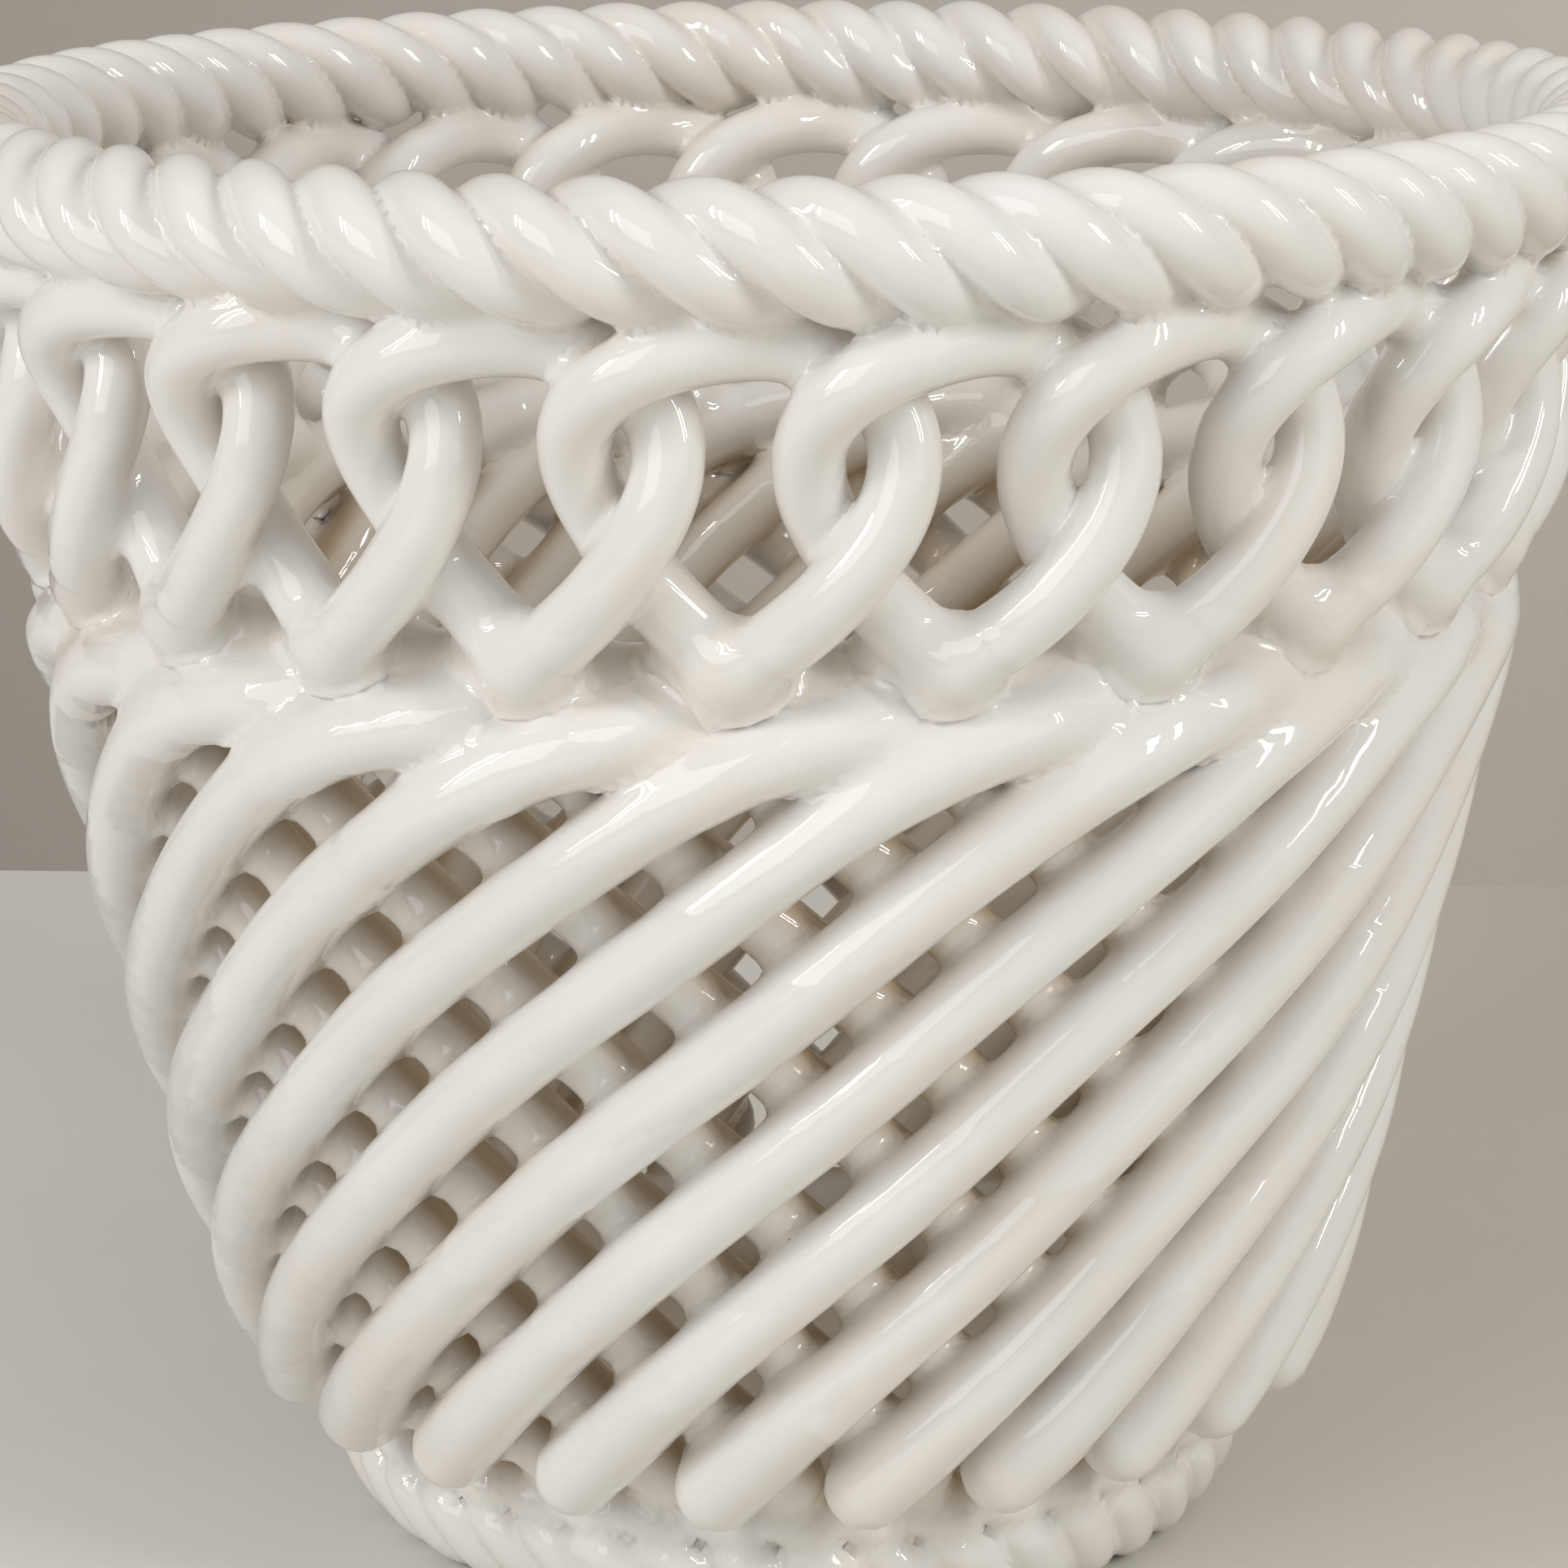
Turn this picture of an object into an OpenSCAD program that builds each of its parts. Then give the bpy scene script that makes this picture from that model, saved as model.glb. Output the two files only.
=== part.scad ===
// Round openwork basket built from rolled clay coils.
// A floor slab stands inside a twisted foot rope. Two layers of slanting coils make the wall,
// leaning opposite ways. Linked teardrop loops stand on the shoulder and carry a twisted rim rope.
// Millimetres, +Z up, origin at the middle of the underside.

/* [Whole basket] */
// Outside diameter over the rim rope
rim_dia = 260; // [230:1:290]
// Height of the rim rope's middle above the table
rim_z = 214.1; // [205:0.1:230]
// Number of loops round the band, and of coils in each wall layer
count = 24; // [20:2:26]
// Direction of the first loop's point, seen from above
first_turn = -92.5; // [-180:0.5:180]

/* [Floor and foot] */
// Diameter of the floor slab
slab_dia = 118; // [100:1:124]
// Thickness of the floor slab
slab_t = 9; // [6:0.5:11]
// Outside diameter over the foot rope
foot_dia = 147; // [136:0.5:150]
// Width of the foot rope
foot_rope = 16.6; // [14:0.1:17]
// Height of the foot rope
foot_h = 25; // [16:0.5:26]
// How far the top of the foot rope leans out, towards the wall
foot_lean = 3; // [0:0.5:5]
// Thickness of each strand of the foot rope
foot_coil = 10.3; // [8:0.1:11]
// Turns of twist round the foot rope
foot_twists = 14; // [10:1:18]

/* [Wall] */
// Thickness of an outer wall coil
outer_coil = 10.2; // [8:0.1:11]
// Thickness of an inner wall coil
inner_coil = 9.3; // [8:0.1:11]
// Height of the middle of the lower end of the outer coils
outer_low_z = 29; // [24:0.5:32]
// Height of the middle of the lower end of the inner coils
inner_low_z = 27; // [22:0.5:30]
// Height at which the outer coils lie level along the shoulder
shoulder_z = 148.5; // [140:0.5:155]
// Height at which the inner coils lie level, behind the loops' points
ledge_z = 157; // [150:0.5:160]
// Middle radius of the outer coils 50 mm above the table
wall_r = 88; // [80:0.5:95]
// Growth of the wall's radius for each millimetre of height
wall_flare = 0.2276; // [0.1:0.01:0.3]
// Turn of a slanting coil for each millimetre of height, in degrees
coil_turn = 0.667; // [0.4:0.01:0.9]
// Distance between the middles of the two wall layers
layer_gap = 9.2; // [8:0.1:10]

/* [Loop band] */
// Thickness of a loop's coil
loop_coil = 8.9; // [7.5:0.1:10]
// Width of a loop over its coil's middle line
loop_w = 42.4; // [36:0.2:46]
// Height of a loop's point
loop_low_z = 157; // [155:0.5:162]
// Radius of the band at the loops' points
loop_low_r = 109; // [105:0.5:113]
// Radius of the band at the loops' tops
loop_high_r = 117.5; // [114:0.5:120]
// Distance between two loops' middle lines where they cross
link_gap = 8.4; // [7:0.1:10]

/* [Rim rope] */
// Thickness of the rim rope
rim_rope = 19.1; // [16:0.1:21]
// Turns of twist round the rim rope
rim_twists = 20; // [14:1:24]

/* [Hidden] */
step = 360 / count;
strands = 3;                                // coils in each rope
strand_ratio = 1 + 2 / sqrt(3);             // rope thickness over strand thickness
rim_r = (rim_dia - rim_rope) / 2;
rim_coil = rim_rope / strand_ratio;
foot_r = (foot_dia - foot_rope) / 2;
foot_z = foot_h / 2 + 0.45;
loop_high_z = rim_z - rim_rope / 2 - loop_coil / 2 + 1.4;
loop_h = loop_high_z - loop_low_z;
tuck = 8.5;                                 // how far the wall draws in at its foot
tuck_h = 12;                                // height over which it does so
tuck_z = 14.5;                              // height at which it has drawn in that far
tail_in = 4;                                // how far a tail tucks in behind the next coil
bend_h = 6.8;                               // how softly a wall coil turns level
ledge_in = 2.2;                             // how far the inner ledge draws in at the top
teardrop_top = 0.77;                        // widest value of sin(t) * sin(t / 2)
weave_lag = 22;                             // shifts the weave towards the real crossings
loop_rings = 20;
loop_sides = 8;
wall_rings = 11;
wall_sides = 7;
rope_rings = 6;                             // for each turn of twist
rope_sides = 6;
glaze_white = [0.93, 0.92, 0.89];
bare_clay = [0.80, 0.72, 0.62];

function two(n) = str(n < 10 ? "0" : "", n);
LOOPS = [for (i = [1 : count]) str("loop_", two(i))];
OUTER = [for (i = [1 : count / 2]) str("outer_coils_", two(i))];
INNER = [for (i = [1 : count / 2]) str("inner_coils_", two(i))];
RIM = [for (i = [1 : strands]) str("rim_strand_", i)];
FOOT = [for (i = [1 : strands]) str("foot_strand_", i)];

// ---- Geometry helpers ----

function unit(v) = v / norm(v);
function at(turn, r, z) = [r * cos(turn), r * sin(turn), z];
function mix(a, b, t) = a + (b - a) * t;

// A polygon of this many sides has the area of the round coil when its corners lie this far out.
function corner_r(r, sides) = r * sqrt(2 * PI / (sides * sin(360 / sides)));

// One ring of corners round a path point, on the plane that halves the bend there.
function ring(p, into, out, r, sides) =
    let (m = unit(into + out),
         away = unit([p.x, p.y, 0]),
         n1 = unit(away - m * (away * m)),
         n2 = cross(m, n1),
         turn = out - into,
         b = norm(turn) < 0.0001 ? [0, 0, 0] : unit(turn),
         stretch = 1 / (m * into) - 1)
    [for (k = [0 : sides - 1])
        let (a = 360 * k / sides, off = r * (cos(a) * n1 + sin(a) * n2))
        p + off + b * (off * b) * stretch];

// Two triangles for each side of the tube between rings i and j.
function skin(i, j, sides) =
    [for (k = [0 : sides - 1])
        let (l = (k + 1) % sides, a = i * sides, b = j * sides)
        each [[a + k, b + l, a + l], [a + k, b + k, b + l]]];

// A coil that closes on itself.
module closed_coil(path, r, sides) {
    n = len(path);
    rr = corner_r(r, sides);
    points = [for (i = [0 : n - 1])
        each ring(path[i], unit(path[i] - path[(i + n - 1) % n]),
                  unit(path[(i + 1) % n] - path[i]), rr, sides)];
    faces = [for (i = [0 : n - 1]) each skin(i, (i + 1) % n, sides)];
    polyhedron(points = points, faces = faces, convexity = 10);
}

// A coil with two rounded ends.
module open_coil(path, r, sides) {
    n = len(path);
    rr = corner_r(r, sides);
    first = unit(path[1] - path[0]);
    last = unit(path[n - 1] - path[n - 2]);
    near = 0.7;
    points = concat(
        ring(path[0] - first * r * near, first, first, rr * near, sides),
        ring(path[0], first, first, rr, sides),
        [for (i = [1 : n - 2])
            each ring(path[i], unit(path[i] - path[i - 1]),
                      unit(path[i + 1] - path[i]), rr, sides)],
        ring(path[n - 1], last, last, rr, sides),
        ring(path[n - 1] + last * r * near, last, last, rr * near, sides));
    start_cap = [for (k = [1 : sides - 2]) [0, k, k + 1]];
    end = (n + 1) * sides;
    end_cap = [for (k = [1 : sides - 2]) [end, end + k + 1, end + k]];
    faces = concat(start_cap, [for (i = [0 : n]) each skin(i, i + 1, sides)], end_cap);
    polyhedron(points = points, faces = faces, convexity = 10);
}

// ---- Paths ----

// Middle radius of the outer wall layer at a height.
function wall(z) = wall_r + wall_flare * (z - 50) - tuck * exp((tuck_z - z) / tuck_h);

// Height of a wall coil, by how far it has turned from the place where it lies level.
function coil_z(turn, level_z) =
    level_z - bend_h * ln(1 + exp(-turn / (bend_h * coil_turn)));

// The turn at which a wall coil reaches its lower end.
function low_turn(low_z, level_z) =
    -bend_h * coil_turn * ln(exp((level_z - low_z) / bend_h) - 1);

level_turn = 14.7;                          // how far before its loop's point an outer coil levels
inner_turn = 36.5;                          // the same for an inner coil, which leans the other way
tail_turn = 10.2;                           // how far a coil runs on after it levels

function outer_path(i) =
    let (from = low_turn(outer_low_z, shoulder_z), to = tail_turn)
    [for (k = [0 : wall_rings])
        let (turn = mix(from, to, k / wall_rings),
             z = coil_z(turn, shoulder_z),
             tail = max(0, turn + 2) / (tail_turn + 2))
        at(first_turn + step * i + turn - level_turn, wall(z) - tail_in * tail * tail, z)];

function inner_path(i) =
    let (from = low_turn(inner_low_z, ledge_z), to = tail_turn)
    [for (k = [0 : wall_rings])
        let (turn = mix(from, to, k / wall_rings),
             z = coil_z(turn, ledge_z),
             r = wall(z) - layer_gap - ledge_in * exp((z - ledge_z) / tuck_h))
        at(first_turn + step * i - turn + inner_turn - step * 2, r, z)];

// A linked teardrop: point down, woven behind, over, behind and over its two neighbours.
// The rings beside the point are left out, because the coil is thicker than they are far apart.
function loop_path(i) =
    [for (k = concat([0], [for (j = [2 : loop_rings - 2]) j]))
        let (t = 360 * k / loop_rings,
             rise = (1 - cos(t)) / 2,
             across = -loop_w / 2 / teardrop_top * sin(t) * sin(t / 2),
             weave = -link_gap / 2 * sin(2 * (t - weave_lag * sin(t))),
             r = mix(loop_low_r, loop_high_r, rise))
        at(first_turn + step * i + across / r * 180 / PI, r + weave,
           loop_low_z + loop_h * rise)];

// One strand of a rope laid round a ring. The rope is w wide and h high, its strands are d thick,
// and its top leans out.
function rope_path(i, ring_r, ring_z, w, h, d, lean, twists) =
    let (n = twists * rope_rings)
    [for (k = [0 : n - 1])
        let (turn = 360 * k / n, lay = 360 * i / strands - twists * turn)
        at(turn, ring_r + (w - d) / 2 * cos(lay) + lean / 2 * sin(lay),
           ring_z + (h - d) / 2 * sin(lay))];

// ---- Sub-parts ----

// The floor: a round slab, flat underneath, with softened edges.
module floor_slab() {
    ease = 1.5;
    color(bare_clay)
    rotate_extrude($fn = 96)
        polygon([[0, 0], [slab_dia / 2 - ease, 0], [slab_dia / 2, ease],
                 [slab_dia / 2, slab_t - ease], [slab_dia / 2 - ease, slab_t], [0, slab_t]]);
}

// One of the three strands of the rope that the basket stands on.
module foot_strand(i) {
    color(glaze_white)
    closed_coil(rope_path(i, foot_r, foot_z, foot_rope, foot_h, foot_coil, foot_lean,
                          foot_twists),
                foot_coil / 2, rope_sides);
}

// Two coils of the inner wall layer that face each other across the basket.
module inner_coils(i) {
    color(glaze_white)
    for (k = [i, i + count / 2])
        open_coil(inner_path(k), inner_coil / 2, wall_sides);
}

// Two coils of the outer wall layer that face each other across the basket.
module outer_coils(i) {
    color(glaze_white)
    for (k = [i, i + count / 2])
        open_coil(outer_path(k), outer_coil / 2, wall_sides);
}

// One teardrop loop of the band.
module loop(i) {
    color(glaze_white)
    closed_coil(loop_path(i), loop_coil / 2, loop_sides);
}

// One of the three strands of the rim rope.
module rim_strand(i) {
    color(glaze_white)
    closed_coil(rope_path(i, rim_r, rim_z, rim_rope, rim_rope, rim_coil, 0, rim_twists),
                rim_coil / 2, rope_sides);
}

floor_slab();
for (i = [0 : strands - 1]) foot_strand(i);
for (i = [0 : count / 2 - 1]) inner_coils(i);
for (i = [0 : count / 2 - 1]) outer_coils(i);
for (i = [0 : count - 1]) loop(i);
for (i = [0 : strands - 1]) rim_strand(i);
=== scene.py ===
import math

import bpy
import numpy as np
from mathutils import Matrix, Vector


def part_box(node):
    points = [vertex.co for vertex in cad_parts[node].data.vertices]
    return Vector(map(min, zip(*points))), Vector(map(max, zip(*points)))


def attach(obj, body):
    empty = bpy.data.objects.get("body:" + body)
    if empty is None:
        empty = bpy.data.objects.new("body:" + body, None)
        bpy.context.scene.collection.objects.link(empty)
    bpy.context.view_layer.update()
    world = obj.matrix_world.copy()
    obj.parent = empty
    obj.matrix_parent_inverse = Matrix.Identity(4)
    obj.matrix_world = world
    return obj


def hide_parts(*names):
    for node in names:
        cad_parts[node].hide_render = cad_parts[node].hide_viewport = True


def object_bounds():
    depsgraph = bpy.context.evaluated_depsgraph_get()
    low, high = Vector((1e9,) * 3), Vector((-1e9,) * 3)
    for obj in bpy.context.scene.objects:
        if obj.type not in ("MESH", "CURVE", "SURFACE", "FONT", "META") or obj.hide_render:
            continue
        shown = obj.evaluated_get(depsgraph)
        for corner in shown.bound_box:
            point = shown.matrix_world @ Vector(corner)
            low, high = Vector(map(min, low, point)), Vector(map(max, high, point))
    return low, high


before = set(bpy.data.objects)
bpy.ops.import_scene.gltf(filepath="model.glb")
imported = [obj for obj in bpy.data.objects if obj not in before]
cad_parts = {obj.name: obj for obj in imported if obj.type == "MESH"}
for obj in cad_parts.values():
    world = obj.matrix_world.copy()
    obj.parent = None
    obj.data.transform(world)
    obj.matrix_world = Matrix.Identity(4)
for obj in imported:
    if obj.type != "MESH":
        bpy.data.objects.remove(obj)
cad_low, cad_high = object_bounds()

# ---- Floor slab ----
# The basket is built up on a round slab of rolled clay, flat underneath so that it stands still.
# Its top is glazed with the rest. Its underside is wiped bare, or it would stick to the kiln shelf.
MM = 0.001  # the sizes here are millimetres, and Blender's are metres


def new_material(name):
    """An empty node material: its node tree, its shader, and a function that adds a node."""
    material = bpy.data.materials.new(name)
    material.use_nodes = True
    tree = material.node_tree
    shader = tree.nodes["Principled BSDF"]

    def add(kind, **inputs):
        node = tree.nodes.new(kind)
        for key, value in inputs.items():
            node.inputs[key.replace("_", " ")].default_value = value
        return node

    return material, tree, shader, add


def two_colours(tree, add, share, a, b):
    """Colour a where share is 0 and colour b where it is 1."""
    mix = add("ShaderNodeMix")
    mix.data_type = "RGBA"
    tree.links.new(share, mix.inputs[0])
    for socket, colour in ((mix.inputs[6], a), (mix.inputs[7], b)):
        if isinstance(colour, tuple):
            socket.default_value = (*colour, 1)
        else:
            tree.links.new(colour, socket)
    return mix.outputs[2]


def within(tree, add, value, low, high):
    """0 where value is below low and 1 where it is above high."""
    ramp = add("ShaderNodeMapRange", From_Min=low, From_Max=high)
    tree.links.new(value, ramp.inputs["Value"])
    return ramp.outputs["Result"]


def bare_clay():
    """Fired clay with no glaze: pale buff, mottled, with the grog showing as fine dark grains."""
    material, tree, shader, add = new_material("bare_clay")
    place = add("ShaderNodeTexCoord").outputs["Object"]
    mottle = add("ShaderNodeTexNoise", Scale=55.0, Detail=4.0)
    grain = add("ShaderNodeTexNoise", Scale=1400.0, Detail=2.0)
    for noise in (mottle, grain):
        tree.links.new(place, noise.inputs["Vector"])
    clay = two_colours(
        tree, add, mottle.outputs["Fac"], (0.50, 0.37, 0.25), (0.66, 0.53, 0.40)
    )
    grog = within(tree, add, grain.outputs["Fac"], 0.62, 0.70)
    tree.links.new(
        two_colours(tree, add, grog, clay, (0.30, 0.20, 0.13)),
        shader.inputs["Base Color"],
    )
    bump = add("ShaderNodeBump", Strength=0.35, Distance=0.0002)
    tree.links.new(grain.outputs["Fac"], bump.inputs["Height"])
    tree.links.new(bump.outputs["Normal"], shader.inputs["Normal"])
    shader.inputs["Roughness"].default_value = 0.85
    return material


def make_piece(name, points, faces, materials, slot, *nodes):
    """A mesh piece from points in millimetres, riding in place of its CAD nodes."""
    mesh = bpy.data.meshes.new(name)
    mesh.from_pydata((np.asarray(points) * MM).tolist(), [], faces)
    mesh.shade_smooth()
    for material in materials:
        mesh.materials.append(material)
    piece = bpy.data.objects.new(name, mesh)
    bpy.context.scene.collection.objects.link(piece)
    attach(piece, "root")
    if nodes:
        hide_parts(*nodes)
    return piece


slab_low, slab_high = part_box("floor_slab")
slab_r = (slab_high.x - slab_low.x) / 2 / MM
slab_t = slab_high.z / MM
slab_ease = 1.5  # rounding of its edges
slab_steps = 144
slab_rings = 14  # from the middle out to the edge, on either face
slab_worn = 0.4  # how far its top lies below the full thickness
slab_wave = 0.35  # how far its top rises and falls

profile = [(slab_r * k / slab_rings, 0.0) for k in range(1, slab_rings)]
for corner, start in ((slab_ease, -90), (slab_t - slab_ease, 0)):
    for k in range(5):
        a = math.radians(start + 22.5 * k)
        profile.append(
            (slab_r - slab_ease + slab_ease * math.cos(a), corner + slab_ease * math.sin(a))
        )
profile += [(slab_r * k / slab_rings, slab_t) for k in range(slab_rings - 1, 0, -1)]

slab_points = [(0, 0, 0)]
for r, z in profile:
    on_top = z > slab_t - 0.01
    for k in range(slab_steps):
        a = 2 * math.pi * k / slab_steps
        sag = slab_wave * math.sin(3 * a + r / 15) * (r / slab_r) * on_top
        slab_points.append((r * math.cos(a), r * math.sin(a), z - slab_worn * on_top + sag))
slab_points.append((0, 0, slab_t - slab_worn))

slab_faces = [(0, 1 + (k + 1) % slab_steps, 1 + k) for k in range(slab_steps)]
for j in range(len(profile) - 1):
    for k in range(slab_steps):
        a, b = 1 + j * slab_steps, 1 + (j + 1) * slab_steps
        m = (k + 1) % slab_steps
        slab_faces.append((a + k, a + m, b + m, b + k))
last = 1 + (len(profile) - 1) * slab_steps
slab_faces += [
    (last + k, last + (k + 1) % slab_steps, len(slab_points) - 1) for k in range(slab_steps)
]


def glaze(name, white, cream, speck=0.0):
    """Glossy white tin glaze. It breaks to cream where it is thick, and it ripples a little. The
    same cream is painted into recesses as painted shade.
    """
    material, tree, shader, add = new_material(name)
    place = add("ShaderNodeTexCoord").outputs["Object"]
    cloud = add("ShaderNodeTexNoise", Scale=28.0, Detail=3.0)
    ripple = add("ShaderNodeTexNoise", Scale=95.0, Detail=1.0, Roughness=0.4)
    peel = add("ShaderNodeTexNoise", Scale=620.0, Detail=1.0)
    dots = add("ShaderNodeTexVoronoi", Scale=85.0)
    rare = add("ShaderNodeTexNoise", Scale=21.0, Detail=0.0)
    for texture in (cloud, ripple, peel, dots, rare):
        tree.links.new(place, texture.inputs["Vector"])

    # The attribute read here holds thick glaze in the joints and painted shade in the recesses;
    # both turn the white to cream.
    pool_and_shade = add("ShaderNodeAttribute")
    pool_and_shade.attribute_name = "pool_and_shade"
    thick = add("ShaderNodeMath")
    thick.operation = "MULTIPLY_ADD"
    tree.links.new(pool_and_shade.outputs["Fac"], thick.inputs[0])
    thick.inputs[1].default_value = 0.85
    tree.links.new(within(tree, add, cloud.outputs["Fac"], 0.35, 2.6), thick.inputs[2])
    colour = two_colours(tree, add, thick.outputs[0], white, cream)

    stain = add("ShaderNodeAttribute")
    stain.attribute_name = "stain"
    colour = two_colours(tree, add, stain.outputs["Fac"], colour, (0.42, 0.25, 0.12))

    small = within(tree, add, dots.outputs["Distance"], 0.030, 0.018)
    few = within(tree, add, rare.outputs["Fac"], 0.60 - speck, 0.62 - speck)
    pinhole = add("ShaderNodeMath")
    pinhole.operation = "MULTIPLY"
    tree.links.new(small, pinhole.inputs[0])
    tree.links.new(few, pinhole.inputs[1])
    colour = two_colours(tree, add, pinhole.outputs[0], colour, (0.24, 0.17, 0.11))
    tree.links.new(colour, shader.inputs["Base Color"])

    wave = add("ShaderNodeBump", Strength=0.34, Distance=0.0012)
    tree.links.new(ripple.outputs["Fac"], wave.inputs["Height"])
    skin = add("ShaderNodeBump", Strength=0.10, Distance=0.0001)
    tree.links.new(peel.outputs["Fac"], skin.inputs["Height"])
    tree.links.new(wave.outputs["Normal"], skin.inputs["Normal"])
    tree.links.new(skin.outputs["Normal"], shader.inputs["Normal"])

    sheen = add("ShaderNodeMapRange", From_Min=0.3, From_Max=0.7, To_Min=0.02, To_Max=0.05)
    tree.links.new(cloud.outputs["Fac"], sheen.inputs["Value"])
    tree.links.new(sheen.outputs["Result"], shader.inputs["Roughness"])
    shader.inputs["IOR"].default_value = 1.52
    return material


WHITE = (0.815, 0.80, 0.77)
# CREAM is the colour of thick glaze and also of the painted shade in the recesses.
CREAM = (0.63, 0.49, 0.32)
slab_glaze = glaze("slab_glaze", (0.80, 0.75, 0.66), (0.66, 0.55, 0.38), speck=0.06)
floor_slab = make_piece(
    "floor_slab_clay", slab_points, slab_faces, [slab_glaze, bare_clay()], "slab_clay", "floor_slab"
)
for face in floor_slab.data.polygons:
    highest = max(floor_slab.data.vertices[v].co.z for v in face.vertices)
    if highest < 0.4 * MM:  # the underside, up to the start of its rounded edge
        face.material_index = 1

# ---- Foot rope ----
# Three rolled coils of clay are twisted into a rope and laid round the slab's edge.
# The slip that joins them, and then the glaze, soften the grooves between them.
coils = []  # every laid coil, for the glaze to run over at the end
hand = np.random.default_rng(24)  # the maker's unsteadiness
rim_middle = 214  # height of the rim, where the basket is true again, as it is at the foot
waist_lean = 1.9  # how far it leans left between them
oval, wave, sway = 0.5, 0.4, 0.004  # how far it is out of round, and its coils out of line


def at(turn, r, z):
    turn = np.radians(turn)
    return np.stack([r * np.cos(turn), r * np.sin(turn), z + 0 * r], -1)


def handmade(path):
    """The basket stands a little out of true: it leans left at mid height and waves slightly."""
    x, y, z = path.T
    turn = np.arctan2(y, x)
    r = np.hypot(x, y)
    rise = np.sin(np.pi * np.clip(z / rim_middle, 0, 1))
    r = r + rise * (oval * np.sin(2 * turn + 0.7) + wave * np.sin(5 * turn + z / 21))
    turn = turn + rise * sway * np.sin(7 * turn + z / 17)
    return np.stack([r * np.cos(turn) - waist_lean * rise, r * np.sin(turn), z], 1)


def even(path, gap, closed):
    """The same path with its points one even gap apart."""
    if closed:
        path = np.vstack([path, path[:1]])
    far = np.concatenate([[0], np.cumsum(np.linalg.norm(np.diff(path, axis=0), axis=1))])
    n = round(far[-1] / gap)
    stops = np.linspace(0, far[-1], n + 1)[: n if closed else n + 1]
    return np.stack([np.interp(stops, far, path[:, k]) for k in range(3)], 1), far[-1] / n


def unit(v):
    return v / np.maximum(np.linalg.norm(v, axis=-1, keepdims=True), 1e-9)


def carry_frames(path, closed):
    """Tangents and two normals at each point, carried along without twisting."""
    if closed:
        tangent = unit(np.roll(path, -1, 0) - np.roll(path, 1, 0))
    else:
        tangent = unit(np.gradient(path, axis=0))
    n = unit(np.cross(tangent[0], [0.3, 0.2, 0.9]))
    normals = [n]
    for t in tangent[1:]:
        n = n - t * (n @ t)
        n = n / np.linalg.norm(n)
        normals.append(n)
    normals = np.array(normals)
    if closed:  # spread the angle that is left over round the ring
        n = n - tangent[0] * (n @ tangent[0])
        side = np.cross(tangent[0], normals[0])
        left = math.atan2(n @ side, n @ normals[0])
        a = -left * np.arange(len(path)) / len(path)
        side = np.cross(tangent, normals)
        normals = normals * np.cos(a)[:, None] + side * np.sin(a)[:, None]
    return tangent, normals, np.cross(tangent, normals)


def roll_coil(path, thick, gap, sides, closed):
    """A rolled coil of clay. Each of its points lies along a ray from the middle of the coil."""
    path, step = even(path, gap, closed)
    tangent, n1, n2 = carry_frames(path, closed)
    rings = [(i, 0.0) for i in range(len(path))]
    if not closed:  # round ends, from rays that lean over towards the tip
        lean = np.radians([22.5, 45, 67.5])
        rings = (
            [(0, -a) for a in lean[::-1]] + rings + [(len(path) - 1, a) for a in lean]
        )
    around = 2 * np.pi * np.arange(sides) / sides
    centre = np.array([i for i, a in rings])
    tilt = np.array([a for i, a in rings])
    radial = (
        n1[centre][:, None] * np.cos(around)[None, :, None]
        + n2[centre][:, None] * np.sin(around)[None, :, None]
    )
    ray = (
        radial * np.cos(tilt)[:, None, None]
        + tangent[centre][:, None] * np.sin(tilt)[:, None, None]
    )
    ray = ray.reshape(-1, 3)
    centre = np.repeat(centre, sides)
    n = len(rings)
    faces = []
    for j in range(n if closed else n - 1):
        a, b = j * sides, (j + 1) % n * sides
        for k in range(sides):
            m = (k + 1) % sides
            faces.append((a + k, a + m, b + m, b + k))
    if not closed:
        tips = len(ray)
        ray = np.vstack([ray, -tangent[:1], tangent[-1:]])
        centre = np.concatenate([centre, [0, len(path) - 1]])
        for k in range(sides):
            m = (k + 1) % sides
            faces.append((tips, m, k))
            faces.append((tips + 1, (n - 1) * sides + k, (n - 1) * sides + m))
    half = np.full((len(path), 2), step / 2)
    if not closed:
        half[0, 0] = half[-1, 1] = 0
    thick = np.interp(np.linspace(0, 1, len(path)), np.linspace(0, 1, len(thick)), thick)
    return {
        "path": path,
        "tangent": tangent,
        "half": half,
        "r": thick / 2,
        "step": step,
        "closed": closed,
        "centre": centre,
        "ray": ray,
        "faces": faces,
    }


def lay_coils(name, rolled, material, slot, *nodes):
    """One piece of one or more rolled coils. Its glaze comes later, when all coils are laid."""
    points, faces, start = [], [], 0
    for coil in rolled:
        coil["first"] = start
        far = coil["r"][coil["centre"]][:, None]
        points.append(coil["path"][coil["centre"]] + coil["ray"] * far)
        faces += [tuple(v + start for v in face) for face in coil["faces"]]
        start += len(coil["ray"])
    piece = make_piece(name, np.vstack(points), faces, [material], slot, *nodes)
    for coil in rolled:
        coil["piece"] = piece
        coils.append(coil)
    return piece


def unsteady(n, base, amount):
    """Thickness along a coil, which swells and thins as a hand rolls it."""
    return base * (1 + amount * hand.uniform(-1, 1, n))


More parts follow.
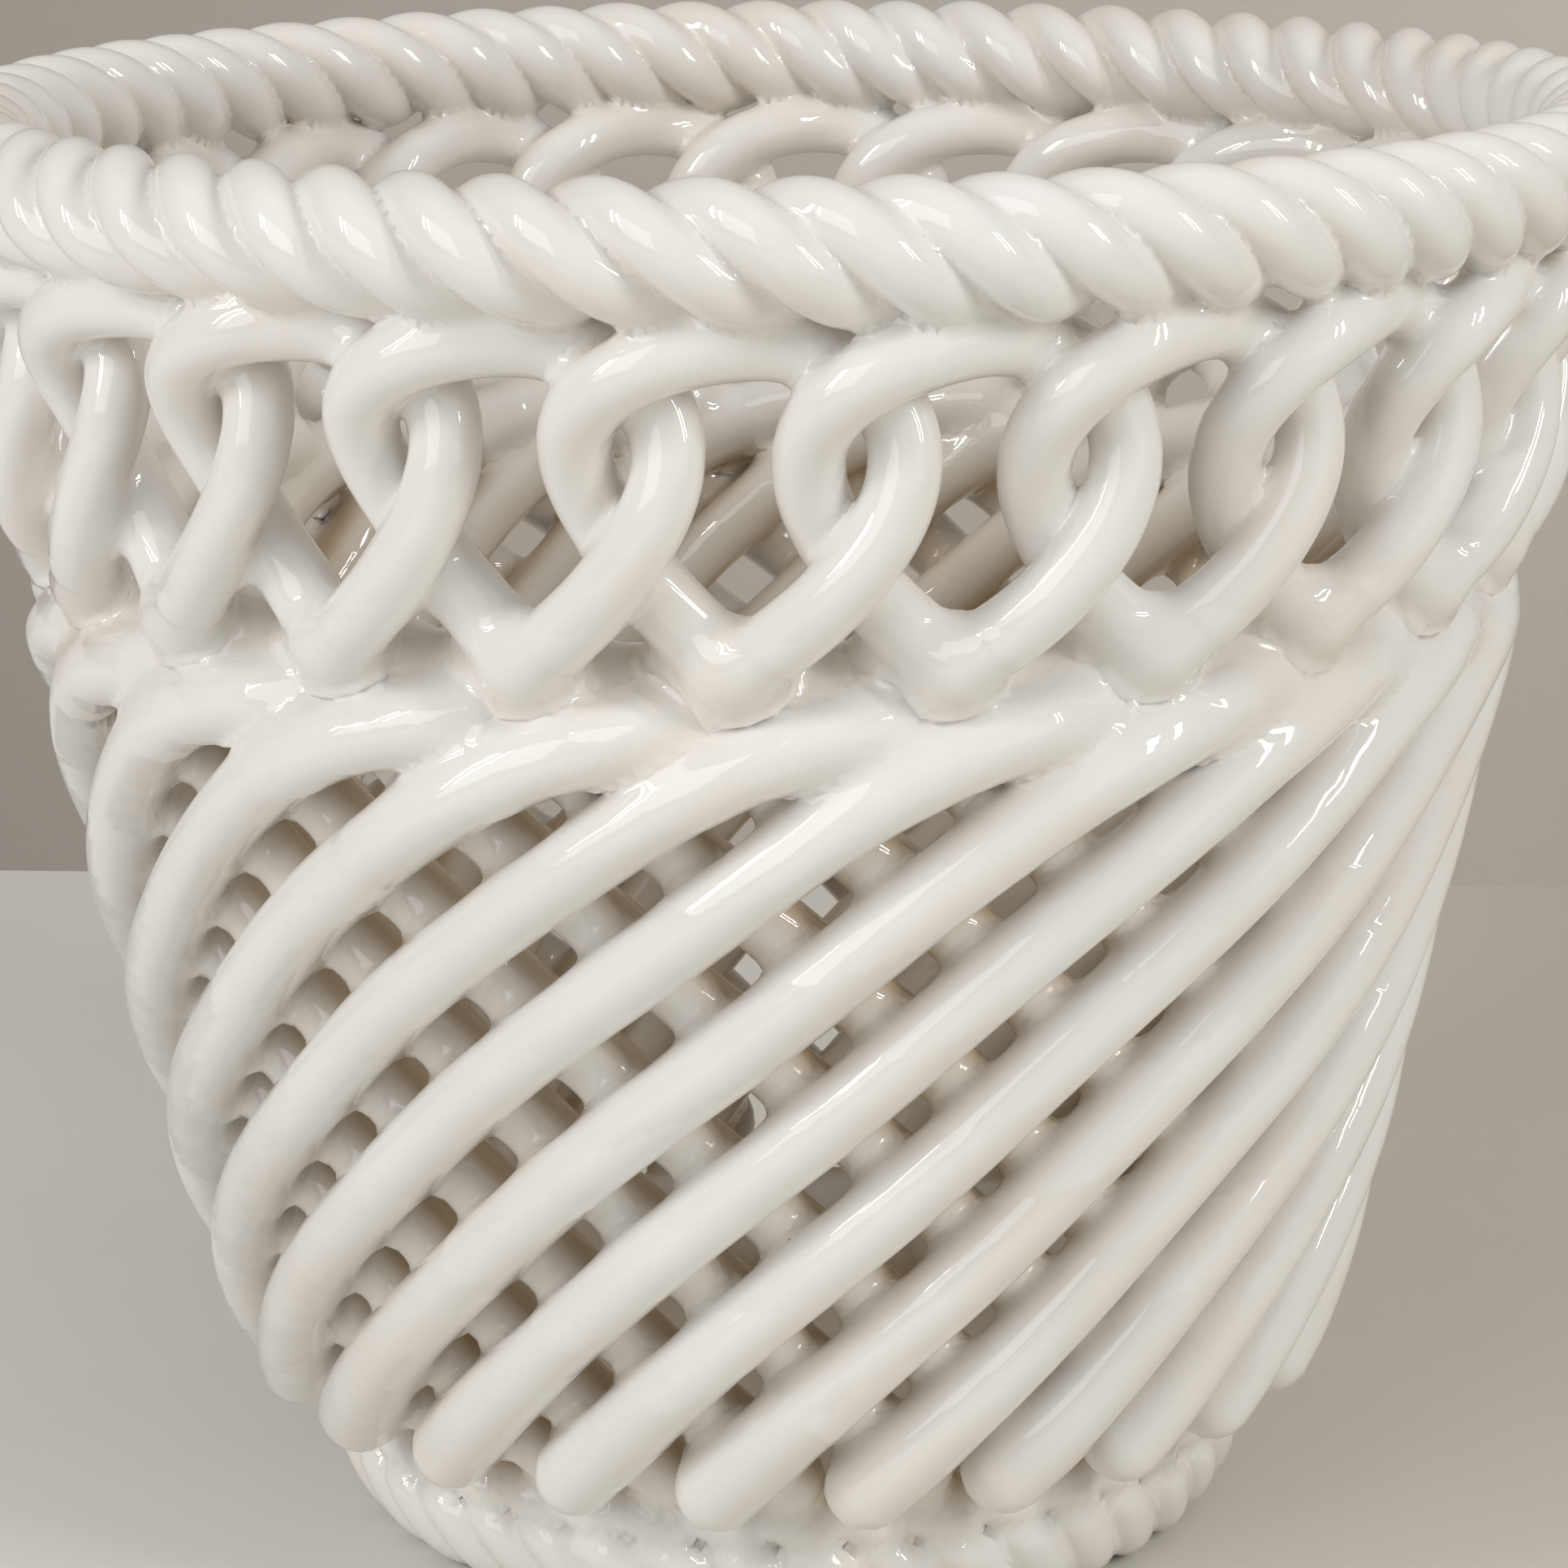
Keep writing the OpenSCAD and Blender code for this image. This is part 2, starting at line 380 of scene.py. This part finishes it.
def rope_path(i, ring_r, ring_z, wide, high, strand, lean, twists, splice=None):
    """The middle of strand i of a three-strand rope laid in a ring, its top leaning out."""
    turn = np.linspace(0, 360, 2400, endpoint=False)
    wander = 0.10 * np.sin(np.radians(turn) * 5 + 1.3) + 0.08 * np.sin(np.radians(turn) * 11)
    if splice:  # the rope's ends are pushed together here, so its lay is uneven
        wander = wander + 0.55 * np.exp(-(((turn - splice) / 3.2) ** 2)) * (1 + 0.5 * i)
    lay = np.radians(120 * i - twists * turn) + wander
    return at(
        turn,
        ring_r + (wide - strand) / 2 * np.cos(lay) + lean / 2 * np.sin(lay),
        ring_z + (high - strand) / 2 * np.sin(lay),
    )


foot_wide, foot_high, foot_strand, foot_lean = 16.6, 25.0, 10.3, 3.0
foot_dia, foot_twists = 147, 14
foot_r = foot_dia / 2 - foot_wide / 2
foot_z = foot_high / 2 + 0.2
foot_glaze = glaze("foot_glaze", WHITE, CREAM)
for i in range(3):
    path = rope_path(
        i, foot_r, foot_z, foot_wide, foot_high, foot_strand, foot_lean, foot_twists
    )
    coil = roll_coil(handmade(path), unsteady(30, foot_strand, 0.03), 1.3, 24, True)
    lay_coils(f"foot_rope_{i + 1}", [coil], foot_glaze, "foot_glaze", f"foot_strand_{i + 1}")

# ---- Inner wall coils ----
# Twenty-four rolled coils lean one way, from inside the foot rope up to a level ledge.
# Each is pressed onto the next where it turns level, which makes the ledge behind the loops.
count = 24
step = 360 / count
first_turn = -92.5
coil_turn = 0.667  # degrees of turn for each millimetre of height
bend = 6.8  # how softly a wall coil turns level
tail_turn = 10.2  # how far a coil runs on after it comes level
inner_low, ledge = 27, 157  # the inner coils' ends, and the ledge that they come level at
layer_gap = 9.2  # from the middle of the outer coils in to the middle of the inner ones
ledge_in = 2.2  # how far the ledge draws in
inner_turn = 36.5  # from where an inner coil levels to its loop's point


def wall(z):
    """Distance from the axis to the middle of the outer coils at height z."""
    return 88 + 0.2276 * (z - 50) - 8.5 * np.exp((14.5 - z) / 12)


def slant(low, level, n=500):
    """Turn and height along a wall coil that rises from low and comes level."""
    start = -bend * coil_turn * math.log(math.exp((level - low) / bend) - 1)
    turn = np.linspace(start, tail_turn, n)
    return turn, level - bend * np.logaddexp(0, -turn / (bend * coil_turn))


# The inner coils get a darker, warmer copy of the white glaze: painted shade for the inside of the
# wall.
inner_glaze = glaze("inner_glaze", (0.80, 0.775, 0.73), CREAM, speck=0.02)


def inner_coil(i):
    turn, z = slant(inner_low, ledge)
    r = wall(z) - layer_gap - ledge_in * np.exp((z - ledge) / 12)
    away = first_turn + step * i - turn + inner_turn - 2 * step + hand.uniform(-0.5, 0.5)
    return roll_coil(handmade(at(away, r, z)), unsteady(9, 9.7, 0.03), 1.3, 24, False)


for i in range(count // 2):
    lay_coils(
        f"inner_wall_{i + 1:02d}",
        [inner_coil(i), inner_coil(i + count // 2)],
        inner_glaze,
        "inner_glaze",
        f"inner_coils_{i + 1:02d}",
    )

# ---- Outer wall coils ----
# As many coils lean the other way over them. They start on top of the foot rope.
# Each bends level along the shoulder and runs out under the point of its loop.
outer_low, shoulder = 29, 148.5  # the outer coils' ends, and the shoulder they come level at
outer_turn = 14.7  # from where an outer coil levels to its loop's point
tail_in, tail_up = 4, 0.8  # the tail tucks in behind the next coil, and rises a little
outer_glaze = glaze("outer_glaze", WHITE, CREAM)


def outer_coil(i):
    turn, z = slant(outer_low, shoulder)
    away = first_turn + step * i + turn - outer_turn + hand.uniform(-0.35, 0.35)
    tail = np.maximum(0, turn + 2) / (tail_turn + 2)
    r = wall(z) - tail_in * tail**2
    thick = unsteady(12, 10.3, 0.025)
    thick[:2] *= 1.18, 1.06  # its lower end is pressed flat on the foot rope
    thick[-2:] *= 0.93, 0.80
    return roll_coil(handmade(at(away, r, z + tail_up * tail)), thick, 1.2, 26, False)


for i in range(count // 2):
    lay_coils(
        f"outer_wall_{i + 1:02d}",
        [outer_coil(i), outer_coil(i + count // 2)],
        outer_glaze,
        "outer_glaze",
        f"outer_coils_{i + 1:02d}",
    )

# ---- Loop band ----
# Each loop is one coil bent into a teardrop, point down, and closed at the point.
# It is woven behind and over its two neighbours, then pressed onto the shoulder.
loop_glaze = glaze("loop_glaze", WHITE, CREAM)
loop_low, loop_high = 157, 201.5
loop_wide = 42.4
loop_low_r, loop_flare = 109, 8.5  # from the axis: at the point, and more at the top
widest = 0.77  # the widest that sin(t) * sin(t / 2) gets
link_depth = 4.2  # how far a loop goes behind and over its neighbours
link_lag = 22  # degrees that the weave lags by, so that it crosses where the loops do


def teardrop(i):
    t = np.radians(np.linspace(13, 347, 700))
    rise = (1 - np.cos(t)) / 2
    across = -loop_wide / 2 / widest * np.sin(t) * np.sin(t / 2)
    from_point = np.degrees(np.minimum(t, 2 * np.pi - t))
    weave = -link_depth * np.sin(2 * (t - math.radians(link_lag) * np.sin(t)))
    weave = weave * (1 - 0.7 * np.exp(-((from_point / 34) ** 2)))
    r = loop_low_r + loop_flare * rise
    away = first_turn + step * i + np.degrees(across / r)
    return roll_coil(
        handmade(at(away, r + weave, loop_low + (loop_high - loop_low) * rise)),
        unsteady(8, 9.4, 0.025),
        1.15,
        24,
        False,
    )


for i in range(count):
    lay_coils(f"teardrop_{i + 1:02d}", [teardrop(i)], loop_glaze, "loop_glaze", f"loop_{i + 1:02d}")

# ---- Rim rope ----
# A thicker rope of three coils is laid on the loops' tops and closed into a ring.
# Its two ends are pinched over each other at the left of the front.
rim_rope, rim_dia, rim_twists = 19.1, 260, 20
rim_splice = 205  # degrees round to where its two ends meet
rim_r = (rim_dia - rim_rope) / 2
rim_z = cad_high.z / MM - rim_rope / 2 - 0.05
rim_strand = rim_rope / (1 + 2 / math.sqrt(3))
rim_glaze = glaze("rim_glaze", WHITE, CREAM)
for i in range(3):
    path = rope_path(
        i, rim_r, rim_z, rim_rope, rim_rope, rim_strand, 0, rim_twists, splice=rim_splice
    )
    coil = roll_coil(handmade(path), unsteady(50, rim_strand, 0.025), 1.05, 32, True)
    lay_coils(f"rim_rope_{i + 1}", [coil], rim_glaze, "rim_glaze", f"rim_strand_{i + 1}")

# ---- The glaze ----
# The basket is dipped whole, so the glaze runs together wherever two coils touch.
# Every point of every coil is moved out to the glaze's own surface, which bridges the joints.
joint_heights = [0, 14, 22, 32, 40, 130, 140, 148, 162, 170, 203, 209, 225]
joint_spread = [0.5, 0.6, 1.3, 2.2, 2.0, 2.0, 2.3, 2.9, 2.6, 1.3, 1.3, 0.55, 0.5]
groove_z, groove_deep, groove_wide = 15.6, 1.3, 1.8  # pressed round the foot rope's outside
reach = 22.0  # coils further apart than this don't share glaze
bridge = 10.0  # the widest gap beside a coil that glaze creeps across
own_arc = 6.0  # along a coil, what is nearer than this is the coil itself and no neighbour
most = 5.5  # how far the glaze may stand out from a coil
sink = 0.15  # past the middle of a joint, a coil's surface dips under its neighbour's
block = 14  # rings worked on together
kiln_mark = (-70.4, -91.5, 174.2)  # a brown mark the kiln left on one loop

all_path = np.vstack([c["path"] for c in coils])
all_tangent = np.vstack([c["tangent"] for c in coils])
all_half = np.vstack([c["half"] for c in coils])
all_r = np.concatenate([c["r"] for c in coils])
all_coil = np.concatenate([np.full(len(c["path"]), k) for k, c in enumerate(coils)])
all_ring = np.concatenate([np.arange(len(c["path"])) for c in coils])


def from_line(p, near, hide=None):
    """How far points p are outside the coil whose path points are near, and which way out it is."""
    q = all_path[near]
    d2 = ((p * p).sum(1)[:, None] - 2 * p @ q.T) + (q * q).sum(1)[None]
    if hide is not None:
        d2 = d2 + hide
    j = near[d2.argmin(1)]
    v = p - all_path[j]
    t = all_tangent[j]
    along = np.clip((v * t).sum(1), -all_half[j, 0], all_half[j, 1])
    v = v - t * along[:, None]
    far = np.linalg.norm(v, axis=1)
    return far - all_r[j], v / np.maximum(far, 1e-6)[:, None], all_ring[j]


def glaze_at(p, groups, coil, centre):
    """How far p is outside the glaze, which way out it is, and how far it has strayed."""
    k = np.interp(p[:, 2], joint_heights, joint_spread)
    found = [from_line(p, near, hide) for near, hide in groups]
    d = np.stack([f[0] for f in found])
    gap = d - d.min(0)
    share = np.exp(-gap / k) * np.clip(1 - gap / bridge, 0, 1) ** 2
    surface = d.min(0) - k * np.log(share.sum(0))
    out = unit(sum(s[:, None] * f[1] for s, f in zip(share, found)))
    off = (p[:, 2] - groove_z) / groove_wide
    groove = groove_deep * np.exp(-(off**2)) * (np.hypot(p[:, 0], p[:, 1]) > foot_r)
    surface = surface + groove
    out[:, 2] -= groove * 2 * off / groove_wide
    out = unit(out)
    strayed = np.abs(found[0][2] - centre)
    if coil["closed"]:
        strayed = np.minimum(strayed, len(coil["path"]) - strayed)
    beyond = np.maximum(0, strayed * coil["step"] - 1.3)
    if len(d) > 1:
        beyond = np.maximum(beyond, d[0] - d[1:].min(0))
    return surface, out, beyond


for number, coil in enumerate(coils):
    n = len(coil["path"])
    reached = np.zeros(len(coil["ray"]))
    outward = np.zeros_like(coil["ray"])
    for start in range(0, n, block):
        mine = np.flatnonzero((coil["centre"] >= start) & (coil["centre"] < start + block))
        centre = coil["centre"][mine]
        middle = coil["path"][start : start + block].mean(0)
        span = np.linalg.norm(coil["path"][start : start + block] - middle, axis=1).max()
        close = np.flatnonzero(((all_path - middle) ** 2).sum(1) < (span + reach) ** 2)
        own = close[all_coil[close] == number]
        apart = np.abs(all_ring[own][None] - centre[:, None])
        if coil["closed"]:
            apart = np.minimum(apart, n - apart)
        elsewhere = apart * coil["step"] > own_arc
        groups = [(own, np.where(elsewhere, 1e6, 0))]
        if elsewhere.any(1).all():
            groups.append((own, np.where(elsewhere, 0, 1e6)))
        for other in np.unique(all_coil[close]):
            if other != number:
                groups.append((close[all_coil[close] == other], None))
        origin, ray, r = coil["path"][centre], coil["ray"][mine], coil["r"][centre]
        s = r * 0.85
        for _ in range(11):
            surface, out, beyond = glaze_at(origin + ray * s[:, None], groups, coil, centre)
            s = np.clip(s - (surface + sink * beyond) / 1.3, r * 0.5, r + most)
        reached[mine] = s
        outward[mine] = glaze_at(origin + ray * s[:, None], groups, coil, centre)[1]
    points = coil["path"][coil["centre"]] + coil["ray"] * reached[:, None]
    points[:, 2] = np.clip(points[:, 2], 0.05, cad_high.z / MM - 0.02)
    coil["points"], coil["outward"] = points, outward
    web = np.clip((reached - coil["r"][coil["centre"]]) / 3, 0, 1)
    # Painted shade: in the hollow between the two layers of coils, from 4.5 mm in from the middle
    # of the outer coils, the glaze turns cream. It is less again from 10.5 mm in and less up near
    # the shoulder. Only the web share is thick glaze in the joints.
    shade_depth = wall(points[:, 2]) - np.hypot(points[:, 0], points[:, 1])
    shade_depth = np.clip((shade_depth - 4.5) / 3.5, 0, 1) - 0.72 * np.clip((shade_depth - 10.5) / 3, 0, 1)
    shade_depth = shade_depth * np.clip((154 - points[:, 2]) / 12, 0.12, 1)
    coil["pool_and_shade"] = np.clip(0.10 * web + shade_depth, 0, 1)
    from_mark = np.linalg.norm((points - kiln_mark) / (2.2, 2.2, 5.0), axis=1)
    coil["stain"] = 0.5 * np.clip(1.3 - from_mark, 0, 1)

for piece in {c["piece"].name: c["piece"] for c in coils}.values():
    laid = [c for c in coils if c["piece"] == piece]
    mesh = piece.data
    points = np.vstack([c["points"] for c in laid])
    mesh.vertices.foreach_set("co", (points * MM).astype(np.float32).ravel())
    # This attribute carries thick glaze in the joints and painted shade in the recesses.
    pool_and_shade = mesh.attributes.new("pool_and_shade", "FLOAT", "POINT")
    pool_and_shade.data.foreach_set("value", np.concatenate([c["pool_and_shade"] for c in laid]).astype(np.float32))
    stain = mesh.attributes.new("stain", "FLOAT", "POINT")
    stain.data.foreach_set("value", np.concatenate([c["stain"] for c in laid]).astype(np.float32))
    mesh.normals_split_custom_set_from_vertices(np.vstack([c["outward"] for c in laid]).tolist())
    mesh.update()

# ---- The table and the light ----
# The basket stands on a plain pale table in front of a plain grey wall. The table is painted darker
# and warmer towards its right as a painted shadow, and the wall is painted lighter towards its
# right as painted light.
# Narrow window panes at the left and right make the glints. Softer light comes from the left,
# from above and a little from the right.


def stage_material(name, colour, dark, painted_light_at_right, scale):
    """Plain matt paint, a little mottled, with painted light and shade: it fades towards another
    colour at the right.
    """
    material, tree, shader, add = new_material(name)
    place = add("ShaderNodeTexCoord").outputs["Object"]
    where = add("ShaderNodeSeparateXYZ")
    tree.links.new(place, where.inputs["Vector"])
    mottle = add("ShaderNodeTexNoise", Scale=scale, Detail=6.0)
    tree.links.new(place, mottle.inputs["Vector"])
    share = within(tree, add, mottle.outputs["Fac"], 0.3, 0.75)
    paint = two_colours(tree, add, share, colour, dark)
    # Painted light and shade: the colour changes from left to right across the sheet.
    right = within(tree, add, where.outputs["X"], -0.25, 0.25)
    tree.links.new(two_colours(tree, add, right, paint, painted_light_at_right), shader.inputs["Base Color"])
    shader.inputs["Roughness"].default_value = 0.6
    return material


def stage_sheet(name, corners, material):
    mesh = bpy.data.meshes.new(name)
    mesh.from_pydata(corners, [], [(0, 1, 2, 3)])
    mesh.materials.append(material)
    sheet = bpy.data.objects.new(name, mesh)
    bpy.context.scene.collection.objects.link(sheet)


table_back = 0.335  # how far behind the basket the wall stands
wall_slope = math.tan(math.radians(-3.6))
ends = [(x, table_back + wall_slope * x) for x in (-3.0, 3.0)]
# The table's colour fades to a darker, warmer one at the right: a painted shadow.
stage_sheet(
    "table",
    [(-3, -3, 0), (3, -3, 0), (*ends[1], 0), (*ends[0], 0)],
    stage_material("table_top", (0.87, 0.86, 0.845), (0.83, 0.82, 0.80), (0.58, 0.54, 0.45), 9.0),
)
# The wall's colour fades to a lighter one at the right: painted light.
stage_sheet(
    "wall",
    [(*ends[0], 0), (*ends[1], 0), (*ends[1], 2.5), (*ends[0], 2.5)],
    stage_material("wall_paint", (0.30, 0.27, 0.235), (0.28, 0.255, 0.22), (0.56, 0.53, 0.49), 5.0),
)


def softbox(name, place, aim, width, height, power, colour=(1, 1, 1)):
    light = bpy.data.lights.new(name, "AREA")
    light.shape = "RECTANGLE"
    light.size, light.size_y = width, height
    light.energy = power
    light.color = colour
    box = bpy.data.objects.new(name, light)
    bpy.context.scene.collection.objects.link(box)
    back = np.array(place) - np.array(aim)
    back = back / np.linalg.norm(back)
    right = np.cross([0, 0, 1], back)
    right = right / np.linalg.norm(right)
    up = np.cross(back, right)
    toward = Matrix(np.stack([right, up, back], 1).tolist()).to_4x4()
    toward.translation = place
    box.matrix_world = toward


softbox("left_pane_1", (-1.05, -0.55, 0.80), (0, 0, 0.13), 0.05, 0.5, 2.4)
softbox("left_pane_2", (-0.97, -0.68, 0.80), (0, 0, 0.13), 0.04, 0.5, 1.8)
softbox("curtain", (-0.85, -1.05, 0.75), (0, 0, 0.10), 1.0, 0.9, 5.8)
softbox("above", (0.15, -0.2, 1.5), (0, 0, 0.1), 1.3, 1.3, 1.2)
softbox("right_pane_1", (0.85, -0.55, 0.70), (0, 0, 0.12), 0.05, 0.45, 2.6)
softbox("right_pane_2", (0.76, -0.68, 0.70), (0, 0, 0.12), 0.04, 0.45, 2.0)
softbox("room_right", (0.95, -0.95, 0.50), (0, 0, 0.08), 0.8, 0.7, 0.9)

world = bpy.data.worlds.new("room")
bpy.context.scene.world = world
world.use_nodes = True
world.node_tree.nodes["Background"].inputs["Color"].default_value = (1.0, 0.99, 0.975, 1)
world.node_tree.nodes["Background"].inputs["Strength"].default_value = 0.38
bpy.context.scene.view_settings.view_transform = "Standard"

camera = bpy.data.objects.new("camera", bpy.data.cameras.new("camera"))
bpy.context.scene.collection.objects.link(camera)
bpy.context.scene.camera = camera
camera.data.sensor_width = 36
camera.data.lens = 103.64
camera.data.clip_start, camera.data.clip_end = 0.05, 20
camera.matrix_world = (
    Matrix.Translation((-0.00029, -0.6815, 0.2953))
    @ Matrix.Rotation(math.radians(75), 4, "X")
    @ Matrix.Rotation(-0.0073, 4, "Z")
)
